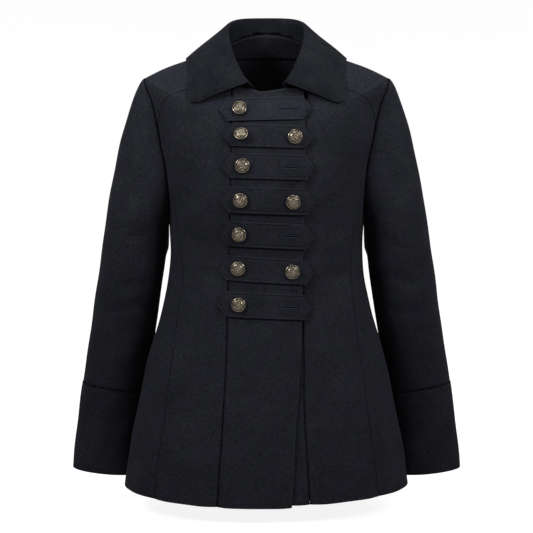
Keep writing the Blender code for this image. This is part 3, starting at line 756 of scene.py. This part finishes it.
def press_in(made, points, width, depth, painted_shade_offset=None):
    """Press a narrow channel into the cloth along a line, and paint it darker as seam shade where asked.
    """
    mesh = made.data
    places = read_points(mesh)
    line = np.array([tuple(point) for point in points])
    reach = CHANNEL_REACH * width * MM
    near = np.flatnonzero(((places > line.min(0) - reach) & (places < line.max(0) + reach)).all(1))
    gaps = gaps_to(points, places[near])
    normals = np.array([tuple(mesh.vertices[index].normal) for index in near]).reshape(-1, 3)
    share = np.exp(-(gaps / width) ** 2)
    places[near] -= normals * (depth * MM * share)[:, None]
    write_points(mesh, places)
    # painted shade: the channel joins the seam mark, as if a seam lay this far off
    if painted_shade_offset is not None:
        values = np.zeros(len(places))
        mesh.attributes["seam"].data.foreach_get("value", values)
        values[near] = np.minimum(values[near], gaps + painted_shade_offset)
        mesh.attributes["seam"].data.foreach_set("value", values)


def add_stitch(threads, first, last, normal, thick):
    """One stitch of thread, round and drawn in at both ends."""
    along = last - first
    turn = Matrix.Identity(3)
    turn.col[0] = along.normalized()
    turn.col[2] = (normal - normal.project(along)).normalized()
    turn.col[1] = turn.col[2].cross(turn.col[0])
    size = Matrix.Diagonal((along.length / 2, thick / 2, thick / 2 / STITCH_FLAT, 1.0))
    spot = Matrix.Translation((first + last) / 2) @ turn.to_4x4() @ size
    bmesh.ops.create_uvsphere(threads, u_segments=5, v_segments=4, radius=1.0,
                              matrix=spot @ Matrix.Rotation(math.pi / 2, 4, "Y"))


def sew(made, threads, points, painted_shade_offset=STITCHED_SHADE):
    """Topstitch one line on a piece: a pressed channel, painted darker as seam shade, with the stitches
    lying in it.
    """
    choice = bpy.context.scene.coat_stitching
    tree = tree_of(made)
    line = [tree.find_nearest(point)[0] for point in even_points(points, LINE_STEP * MM)]
    places = [tree.find_nearest(point)[:2] for point in even_points(line, choice.stitch_length)]
    press_in(made, line, choice.channel_width / MM, choice.channel_depth / MM, painted_shade_offset)
    sunk = choice.channel_depth - STITCH_SINK * choice.thread_thickness
    for (first, normal), (last, _) in zip(places, places[1:]):
        gap = STITCH_GAP * (last - first)
        add_stitch(threads, first + gap - sunk * normal, last - gap - sunk * normal, normal,
                   choice.thread_thickness)


def along_tab(made, number, across, above):
    """Points and normals on a piece's front, in a line that slopes as a tab does."""
    tab = TABS[number - 1]
    tree = tree_of(made)
    slope = tab.drop / (tab.left_tip - tab.right_tip)
    points = []
    for x in across:
        z = tab.z + above - slope * (x - (tab.left_tip + tab.right_tip) / 2)
        points.append(tree.ray_cast(Vector((x, IN_FRONT, z)) * MM, BACKWARDS)[:2])
    return points


def bound_hole(made, threads, number):
    """A worked buttonhole at the wearer's left end of a tab: a pressed slit painted fully dark as shade,
    bound with close stitches.
    """
    points = along_tab(made, number, np.linspace(HOLE_START, HOLE_END, HOLE_STITCHES), 0.0)
    near, far = HOLE_LIPS
    for side in (-1, 1):
        for (first, normal), (last, _) in zip(points, points[1:]):
            across = normal.cross(last - first).normalized() * side * MM
            add_stitch(threads, first + near * across, first + far * across, normal, HOLE_THREAD * MM)
    half, thick = HOLE_BAR
    rise = Vector((0, 0, half * MM))
    for point, normal in (points[0], points[-1]):
        add_stitch(threads, point + rise, point - rise, normal, thick * HOLE_THREAD * MM)
    # no opening is cut: the pressed slit is painted dark as its shade
    press_in(made, [point for point, _ in points], *HOLE_SLIT)


def rib(made, number, above):
    """A faint pressed line across the upper band, above a tab, painted a little darker as shade."""
    tab = TABS[number - 1]
    across = np.arange(tab.right_corner + RIB_INSET, tab.left_corner - RIB_INSET, RIB_STEP)
    points = along_tab(made, number, across, tab.height / 2 + above)
    press_in(made, [point for point, _ in points], *RIB)


def object_from(name, shape, material):
    """Turn a finished bmesh into a smooth object with its material."""
    mesh = bpy.data.meshes.new(name)
    shape.to_mesh(mesh)
    shape.free()
    mesh.materials.append(material)
    mesh.shade_smooth()
    made = bpy.data.objects.new(name, mesh)
    bpy.context.scene.collection.objects.link(made)
    return made


def thread_object(name, threads, material):
    """The stitches of one piece, joined as one object."""
    made = object_from(name, threads, material)
    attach(made, ROOT)


def kept_runs(points, keep):
    """The stretches of a closed path on which keep is true."""
    flags = [keep(point / MM) for point in points]
    if all(flags):
        return [points + points[:1]]
    start = flags.index(False)
    points = points[start:] + points[:start]
    flags = flags[start:] + flags[:start]
    runs, run = [], []
    for point, flag in zip(points, flags):
        if flag:
            run.append(point)
        elif run:
            runs.append(run)
            run = []
    return [r for r in runs + [run] if len(r) > 1]


def below_neck_seam(point):
    """Whether a point of the collar lies outside its neck seam, which climbs towards the back."""
    (front_y, front_z), (back_y, back_z) = NECK_SEAM
    share = (point.y - front_y) / (back_y - front_y)
    return point.z < front_z + share * (back_z - front_z) - NECK_CLEAR


def moved_with_cloth(name, points):
    array = np.array([tuple(p) for p in points]) / MM
    array = array + cloth_moves(name, array)
    return [Vector(p) * MM for p in array]


def edge_stitching(name, insets, keep=lambda point: True):
    """Topstitch a piece along its cut edges, wherever keep allows it."""
    made = bpy.data.objects[name + "_cloth"]
    threads = bmesh.new()
    for inset in insets:
        shape, crease = base_shape(name)
        for path in rim_paths(shape, crease, form_of(name), inset):
            for run in kept_runs(path, keep):
                sew(made, threads, moved_with_cloth(name, run))
        shape.free()
    thread_object(name + "_stitching", threads, sewing_thread())


# Buttons


# The outline that is spun to a button: out from the middle, up from the cloth, how rubbed it is
Turned = namedtuple("Turned", "radius height worn")
BUTTON_OUTLINE = [
    Turned(0.0, 0.5, 0.0), Turned(3.0, 0.5, 0.0), Turned(3.2, 0.9, 0.0), Turned(3.1, 2.0, 0.0),
    Turned(4.6, 2.4, 0.0), Turned(9.4, 2.6, 0.0), Turned(10.7, 3.1, 0.5), Turned(11.0, 3.7, 0.8),
    Turned(10.9, 4.3, 0.9), Turned(10.3, 4.8, 0.7), Turned(9.7, 4.8, 0.2), Turned(9.3, 4.7, 0.0),
    Turned(8.8, 5.0, 0.1), Turned(7.6, 5.6, 0.3), Turned(6.4, 6.1, 0.3), Turned(6.1, 6.5, 0.8),
    Turned(5.6, 6.6, 0.8), Turned(5.3, 6.4, 0.3), Turned(4.0, 6.7, 0.3), Turned(2.2, 7.0, 0.4),
    Turned(0.0, 7.1, 0.5),
]
TIPPED = {"button_2_right": (math.radians(30), 3.0)}     # one hangs tipped up on its thread: turn, lift
BUTTON_SIDES = 48
BUTTON_WELD = 0.001                  # millimetres, between corners that are one corner
# Drops of metal on the dome: how many in a ring, how far out and up, half sizes, fineness
Drop = namedtuple("Drop", "count place size fineness")
BEADS = Drop(26, (8.15, 0, 5.45), (0.62, 0.62, 0.5), 1)
PETALS = Drop(8, (3.3, 0, 6.75), (1.7, 0.75, 0.55), 2)
BOSS = Drop(1, (0, 0, 6.9), (1.25, 1.25, 0.7), 2)


def button_shape():
    """A domed button with a rim, a ring of beads and a plain eight-petal rosette."""
    shape = bmesh.new()
    worn = shape.verts.layers.float.new("worn")
    line = []
    for row in BUTTON_OUTLINE:
        vertex = shape.verts.new((row.radius, 0, row.height))
        vertex[worn] = row.worn
        line.append(vertex)
    edges = [shape.edges.new(pair) for pair in zip(line, line[1:])]
    bmesh.ops.spin(shape, geom=line + edges, axis=(0, 0, 1), cent=(0, 0, 0), angle=math.tau,
                   steps=BUTTON_SIDES, use_merge=True)
    bmesh.ops.remove_doubles(shape, verts=shape.verts, dist=BUTTON_WELD)
    bmesh.ops.recalc_face_normals(shape, faces=shape.faces)
    for drop in (BEADS, PETALS, BOSS):
        for number in range(drop.count):
            turn = Matrix.Rotation(math.tau * number / drop.count, 4, "Z")
            spot = turn @ Matrix.Translation(drop.place) @ Matrix.Diagonal((*drop.size, 1.0))
            ball = bmesh.ops.create_icosphere(shape, subdivisions=drop.fineness, radius=1.0, matrix=spot)
            for vertex in ball["verts"]:
                vertex[worn] = 1.0
    bmesh.ops.transform(shape, matrix=Matrix.Scale(MM, 4), verts=shape.verts)
    return shape


def button_place(name):
    """Where a CAD button sits and which way it faces."""
    points = read_points(NODES[name].data)
    middle = points.mean(0)
    _, _, axes = np.linalg.svd(points - middle, full_matrices=False)
    axis = Vector(axes[2])
    if axis.y > 0:
        axis = -axis
    lowest = min((Vector(point) - Vector(middle)).dot(axis) for point in points)
    base = Vector(middle) + (lowest - BUTTON_OUTLINE[0].height * MM) * axis
    return base, axis


# Operators and settings


class CoatCloth(bpy.types.PropertyGroup):
    crease_scale: bpy.props.FloatProperty(
        name="Crease depth", description="Scale of all creases placed in the cloth",
        default=1.0, min=0.0, max=2.0, subtype="FACTOR")
    cloth_dark: bpy.props.FloatVectorProperty(
        name="Cloth, dark", description="Wool where the nap lies flat", subtype="COLOR",
        size=4, default=to_linear("#18191C"), min=0.0, max=1.0)
    cloth_light: bpy.props.FloatVectorProperty(
        name="Cloth, light", description="Wool where the nap stands up", subtype="COLOR",
        size=4, default=to_linear("#1E1F23"), min=0.0, max=1.0)
    cloth_tint: bpy.props.FloatVectorProperty(
        name="Cloth, cool", description="Patches where the dye is more violet", subtype="COLOR",
        size=4, default=to_linear("#1B1B24"), min=0.0, max=1.0)
    # the collar's colour, darker than the body's wool as painted shade
    collar_shaded_colour: bpy.props.FloatVectorProperty(
        name="Collar, light", description="Brushed wool of the collar", subtype="COLOR",
        size=4, default=to_linear("#101115"), min=0.0, max=1.0)


class CoatStitching(bpy.types.PropertyGroup):
    stitch_length: bpy.props.FloatProperty(
        name="Stitch length", description="From one needle hole to the next",
        default=4.2 * MM, unit="LENGTH")
    thread_thickness: bpy.props.FloatProperty(
        name="Thread thickness", description="Drawn thicker than real thread, to show",
        default=0.9 * MM, unit="LENGTH")
    collar_inset: bpy.props.FloatProperty(
        name="Collar topstitching", description="From the collar's edge to its topstitching",
        default=4.2 * MM, unit="LENGTH")
    tab_inset: bpy.props.FloatProperty(
        name="Tab topstitching", description="From a tab's edge to its topstitching",
        default=3.2 * MM, unit="LENGTH")
    thread_dark: bpy.props.FloatVectorProperty(
        name="Thread, dark", description="Shaded side of the thread", subtype="COLOR",
        size=4, default=to_linear("#131419"), min=0.0, max=1.0)
    thread_light: bpy.props.FloatVectorProperty(
        name="Thread, light", description="Lit side of the thread", subtype="COLOR",
        size=4, default=to_linear("#1E2027"), min=0.0, max=1.0)
    hole_thread: bpy.props.FloatVectorProperty(
        name="Buttonhole thread", description="Lit side of the buttonhole twist", subtype="COLOR",
        size=4, default=to_linear("#3A4656"), min=0.0, max=1.0)
    channel_width: bpy.props.FloatProperty(
        name="Channel width", description="Half width of the channel that the thread presses in",
        default=1.3 * MM, unit="LENGTH")
    channel_depth: bpy.props.FloatProperty(
        name="Channel depth", description="How deep the thread presses the cloth in",
        default=0.45 * MM, unit="LENGTH")


class CoatButtons(bpy.types.PropertyGroup):
    metal_colour: bpy.props.FloatVectorProperty(
        name="Bare metal", description="Brass where it is rubbed", subtype="COLOR",
        size=4, default=to_linear("#776E61"), min=0.0, max=1.0)
    patina_colour: bpy.props.FloatVectorProperty(
        name="Patina", description="Brass where the patina is left", subtype="COLOR",
        size=4, default=to_linear("#17120B"), min=0.0, max=1.0)
    spin: bpy.props.FloatProperty(
        name="Turn", description="From one button to the next, as they settle on their threads",
        default=math.radians(17), subtype="ANGLE")


class CoatStage(bpy.types.PropertyGroup):
    floor_colour: bpy.props.FloatVectorProperty(
        name="Floor colour", description="Glow of the lit floor and wall", subtype="COLOR",
        size=4, default=to_linear("#FFFFFF"), min=0.0, max=1.0)
    camera_distance: bpy.props.FloatProperty(
        name="Camera distance", description="From the camera to the coat's middle",
        default=2.8, unit="LENGTH")


class COAT_OT_body(bpy.types.Operator):
    """Make the back, the fronts, the side panels and the yokes"""
    bl_idname = "coat.body"
    bl_label = "Body panels"

    def execute(self, context):
        dress(["back", "front_right", "front_left", "side_right", "side_left",
               "yoke_right", "yoke_left"])
        return {"FINISHED"}


class COAT_OT_bands(bpy.types.Operator):
    """Make the two front bands"""
    bl_idname = "coat.bands"
    bl_label = "Front bands"

    def execute(self, context):
        dress(["band_right", "band_left"])
        return {"FINISHED"}


class COAT_OT_sleeves(bpy.types.Operator):
    """Make the sleeves and their deep cuffs"""
    bl_idname = "coat.sleeves"
    bl_label = "Sleeves and cuffs"

    def execute(self, context):
        dress(["sleeve_right", "sleeve_left", "cuff_right", "cuff_left"])
        return {"FINISHED"}


class COAT_OT_collar(bpy.types.Operator):
    """Make the collar and the strip inside the back neck"""
    bl_idname = "coat.collar"
    bl_label = "Collar"

    def execute(self, context):
        dress(["collar", "back_neck_facing"])
        return {"FINISHED"}


class COAT_OT_tabs(bpy.types.Operator):
    """Make the seven pointed tabs"""
    bl_idname = "coat.tabs"
    bl_label = "Tabs"

    def execute(self, context):
        dress([f"tab_{number}" for number in range(1, len(TABS) + 1)])
        return {"FINISHED"}


class COAT_OT_stitching(bpy.types.Operator):
    """Topstitch the tabs, the collar, the upper band and the cuffs, and press the band's ribs"""
    bl_idname = "coat.stitching"
    bl_label = "Topstitching"

    def execute(self, context):
        choice = context.scene.coat_stitching
        for number in range(1, len(TABS) + 1):
            edge_stitching(f"tab_{number}", [choice.tab_inset / MM])
        edge_stitching("collar", [choice.collar_inset / MM], below_neck_seam)
        edge_stitching("band_right", BAND_ROWS, lambda point: point.z > BAND_TOP)
        for side in ("right", "left"):
            edge_stitching(f"cuff_{side}", [choice.tab_inset / MM], lambda point: point.z > CUFF_TOP)
        for number in range(2, len(TABS) + 1):
            for above in RIB_PLACES:
                rib(bpy.data.objects["band_right_cloth"], number, above)
        return {"FINISHED"}


class COAT_OT_buttonholes(bpy.types.Operator):
    """Work the four buttonholes in the tabs"""
    bl_idname = "coat.buttonholes"
    bl_label = "Buttonholes"

    def execute(self, context):
        choice = context.scene.coat_stitching
        # the buttonhole twist is painted with the thread's lit colour as its shaded side and its own lit
        # colour
        silk = thread_material("Buttonhole twist", tuple(choice.thread_light), tuple(choice.hole_thread))
        for number in HOLED_TABS:
            threads = bmesh.new()
            bound_hole(bpy.data.objects[f"tab_{number}_cloth"], threads, number)
            thread_object(f"tab_{number}_buttonhole", threads, silk)
        return {"FINISHED"}


class COAT_OT_buttons(bpy.types.Operator):
    """Make the ten domed buttons on their shanks"""
    bl_idname = "coat.buttons"
    bl_label = "Buttons"

    def execute(self, context):
        names = sorted(name for name in NODES if name.startswith("button_"))
        if not names:
            raise RuntimeError("The frame has no buttons")
        for index, name in enumerate(names):
            base, axis = button_place(name)
            shape = button_shape()
            turn = Vector((0, 0, 1)).rotation_difference(axis).to_matrix().to_4x4()
            if name in TIPPED:
                tip, lift = TIPPED[name]
                base = base + axis * lift * MM
                turn = Matrix.Rotation(-tip, 4, "X") @ turn
            spin = Matrix.Rotation(context.scene.coat_buttons.spin * index, 4, "Z")
            bmesh.ops.transform(shape, matrix=Matrix.Translation(base) @ turn @ spin, verts=shape.verts)
            made = object_from(name + "_domed", shape, brass_material())
            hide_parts(name)
            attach(made, ROOT)
        return {"FINISHED"}


# Stage, in metres


FLOOR_HEIGHT = -0.715
FLOOR_HALF = 4.0
WALL_HEIGHT = 4.0
WALL_BEND = 1.2                      # how far the floor starts to curve up before the wall
# Lights: place, what it aims at, size, spread, watts
Light = namedtuple("Light", "name place aim size spread power")
LIGHTS = [
    Light("key", (-1.35, -1.15, 0.85), (0, 0, 0.06), 0.55, math.radians(80), 7.6),
    Light("fill", (1.35, -1.25, 0.75), (0, 0, 0.02), 0.7, math.radians(80), 7.2),
    Light("top", (0.0, -0.3, 1.35), (0, 0, 0), 0.7, math.radians(180), 13.0),
]
WORLD_BELOW, WORLD_ABOVE = 0.06, 0.6      # strength of the even light from below and above
WORLD_LOW, WORLD_HIGH = -0.6, 0.8         # and the rise of the ray at which each is reached
VIEW_TARGET = (0.0, 0.0, -0.3272)
VIEW_RISE = math.radians(4.0)             # the camera looks down on the coat by this much
SENSOR = 36.0                             # millimetres
PIXEL = 1.6 * MM                          # what one pixel covers at the coat
PICTURE = 533                             # pixels across


def aim(made, place, target):
    made.location = place
    made.rotation_euler = (Vector(target) - Vector(place)).to_track_quat("-Z", "Y").to_euler()
    bpy.context.scene.collection.objects.link(made)


class COAT_OT_stage(bpy.types.Operator):
    """Set up the pale studio floor and wall, the soft lights and the camera"""
    bl_idname = "coat.stage"
    bl_label = "Stage"

    def execute(self, context):
        scene = context.scene
        choice = scene.coat_stage
        shape = bmesh.new()
        bmesh.ops.create_grid(shape, x_segments=1, y_segments=1, size=FLOOR_HALF,
                              matrix=Matrix.Translation((0, 0, FLOOR_HEIGHT)))
        far = max(shape.edges, key=lambda e: (e.verts[0].co + e.verts[1].co).y)
        grown = bmesh.ops.extrude_edge_only(shape, edges=[far])
        raised = [item for item in grown["geom"] if isinstance(item, bmesh.types.BMVert)]
        bmesh.ops.translate(shape, verts=raised, vec=(0, 0, WALL_HEIGHT))
        corner = [e for e in shape.edges if len(e.link_faces) == 2]
        bmesh.ops.bevel(shape, geom=corner, affect="EDGES", offset=WALL_BEND, segments=16,
                        profile=0.5, material=-1)
        bmesh.ops.recalc_face_normals(shape, faces=shape.faces)
        floor = object_from("studio_floor", shape, floor_material(choice.floor_colour))
        # its glow fills the picture and doesn't light the coat
        floor.visible_diffuse = False
        for row in LIGHTS:
            lamp = bpy.data.lights.new(row.name, "AREA")
            lamp.size = row.size
            lamp.spread = row.spread
            lamp.energy = row.power
            aim(bpy.data.objects.new(row.name, lamp), row.place, row.aim)
        world = bpy.data.worlds.new("Studio")
        world.use_nodes = True
        tree = world.node_tree
        way = add_node(tree, "ShaderNodeTexCoord").outputs["Generated"]
        height = add_node(tree, "ShaderNodeSeparateXYZ", {}, {"Vector": way}).outputs["Z"]
        strength = add_node(tree, "ShaderNodeMapRange", {}, {
            "Value": height, "From Min": WORLD_LOW, "From Max": WORLD_HIGH,
            "To Min": WORLD_BELOW, "To Max": WORLD_ABOVE})
        sky = tree.nodes["Background"]
        sky.inputs["Color"].default_value = (1.0, 1.0, 1.0, 1.0)
        tree.links.new(strength.outputs["Result"], sky.inputs["Strength"])
        scene.world = world
        scene.view_settings.view_transform = "Standard"
        lens = bpy.data.cameras.new("camera")
        lens.sensor_width = SENSOR
        lens.lens = SENSOR * choice.camera_distance / (PICTURE * PIXEL)
        camera = bpy.data.objects.new("camera", lens)
        away = Vector((0, -math.cos(VIEW_RISE), math.sin(VIEW_RISE))) * choice.camera_distance
        aim(camera, Vector(VIEW_TARGET) + away, VIEW_TARGET)
        scene.camera = camera
        return {"FINISHED"}


def floor_material(colour):
    """A sheet of white acrylic lit from behind, so that only a pale shadow falls on it."""
    made, tree, shader = new_material("Lit white acrylic sheet", {
        "Roughness": 0.7, "Emission Color": tuple(colour), "Emission Strength": 0.86})
    if tree is None:
        return made
    place = add_node(tree, "ShaderNodeTexCoord").outputs["Object"]
    # slow changes in the casting, 300 mm across
    cast = add_node(tree, "ShaderNodeTexNoise", {}, {"Vector": place, "Scale": 3.0, "Detail": 2.0})
    mixed = add_node(tree, "ShaderNodeMix", COLOUR_MIX, {
        MIX_SHARE: cast.outputs["Fac"], MIX_FIRST: to_linear("#8F8F8F"), MIX_SECOND: to_linear("#939393")})
    tree.links.new(mixed.outputs[MIXED], shader.inputs["Base Color"])
    return made


class COAT_PT_panel(bpy.types.Panel):
    """The coat's settings and the steps that make it"""
    bl_idname = "COAT_PT_panel"
    bl_label = "Coat"
    bl_space_type = "VIEW_3D"
    bl_region_type = "UI"
    bl_category = "Coat"

    def draw(self, context):
        for place, group in GROUPS.items():
            for name in group.__annotations__:
                self.layout.prop(getattr(context.scene, place), name)
        for step in STEPS:
            self.layout.operator(step.bl_idname)


GROUPS = {"coat_cloth": CoatCloth, "coat_stitching": CoatStitching, "coat_buttons": CoatButtons,
          "coat_stage": CoatStage}
STEPS = [COAT_OT_body, COAT_OT_bands, COAT_OT_sleeves, COAT_OT_collar, COAT_OT_tabs,
         COAT_OT_stitching, COAT_OT_buttonholes, COAT_OT_buttons, COAT_OT_stage]


def register():
    for group in list(GROUPS.values()) + STEPS + [COAT_PT_panel]:
        bpy.utils.register_class(group)
    for name, group in GROUPS.items():
        setattr(bpy.types.Scene, name, bpy.props.PointerProperty(type=group))


def unregister():
    for name in GROUPS:
        delattr(bpy.types.Scene, name)
    for group in reversed(list(GROUPS.values()) + STEPS + [COAT_PT_panel]):
        bpy.utils.unregister_class(group)


def main():
    register()
    for step in STEPS:
        group, name = step.bl_idname.split(".")
        getattr(getattr(bpy.ops, group), name)()


if __name__ == "__main__":
    main()
